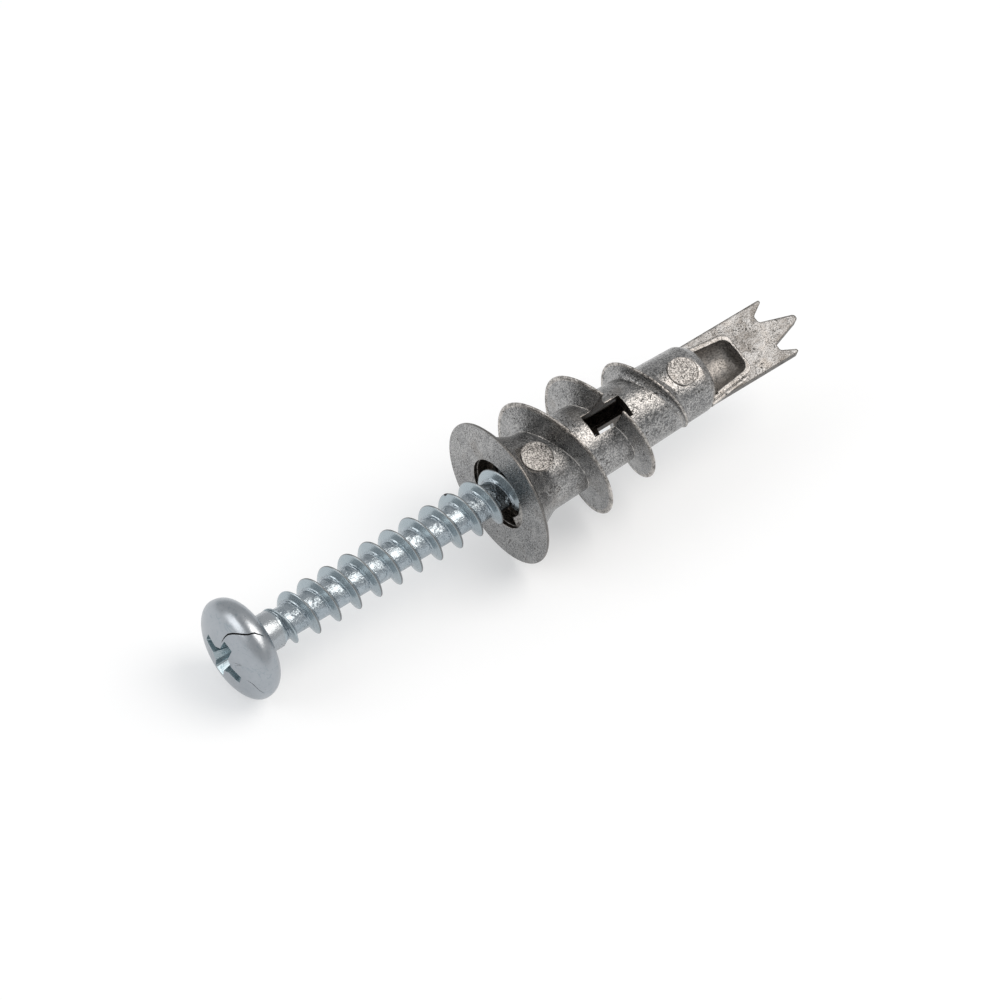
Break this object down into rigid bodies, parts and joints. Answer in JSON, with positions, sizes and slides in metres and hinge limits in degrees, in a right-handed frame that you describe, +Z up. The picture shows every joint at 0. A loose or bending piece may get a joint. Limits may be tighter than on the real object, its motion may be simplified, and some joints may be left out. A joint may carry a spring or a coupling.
{
  "type": "metal plasterboard anchor",
  "caption": "Self-drilling plasterboard anchor cast in metal, with a flange, coarse thread and forked drilling blade, and a cross-recessed pan head screw part way into it.",
  "frame": {"origin": "centre of the bounding box at the surface that the pair lies on", "axes": "+Z up; +X towards the anchor's drilling teeth, along the pair as it lies on the rims of its flange and of the screw's head, which lifts the teeth end of the shared axis by 4.34 degrees; +Y across; the flat side of the blade faces up, leaning 20 degrees over towards -Y"},
  "size_m": [0.0597, 0.013, 0.013],
  "materials": {
    "zinc_casting": "as cast zinc alloy, mottled warm grey with dark pits",
    "plated_steel": "bright zinc plating, glossy on the thread and satin on the head"
  },
  "bodies": {
    "anchor": {"anchor_body": "zinc_casting"},
    "drive_screw": {"screw": "plated_steel"}
  },
  "joints": [
    {"name": "screw_travel", "type": "slide", "parent": "anchor", "child": "drive_screw", "axis": [0.9971, 0, 0.0757], "range_m": [-0.0115, 0.0145]}
  ]
}
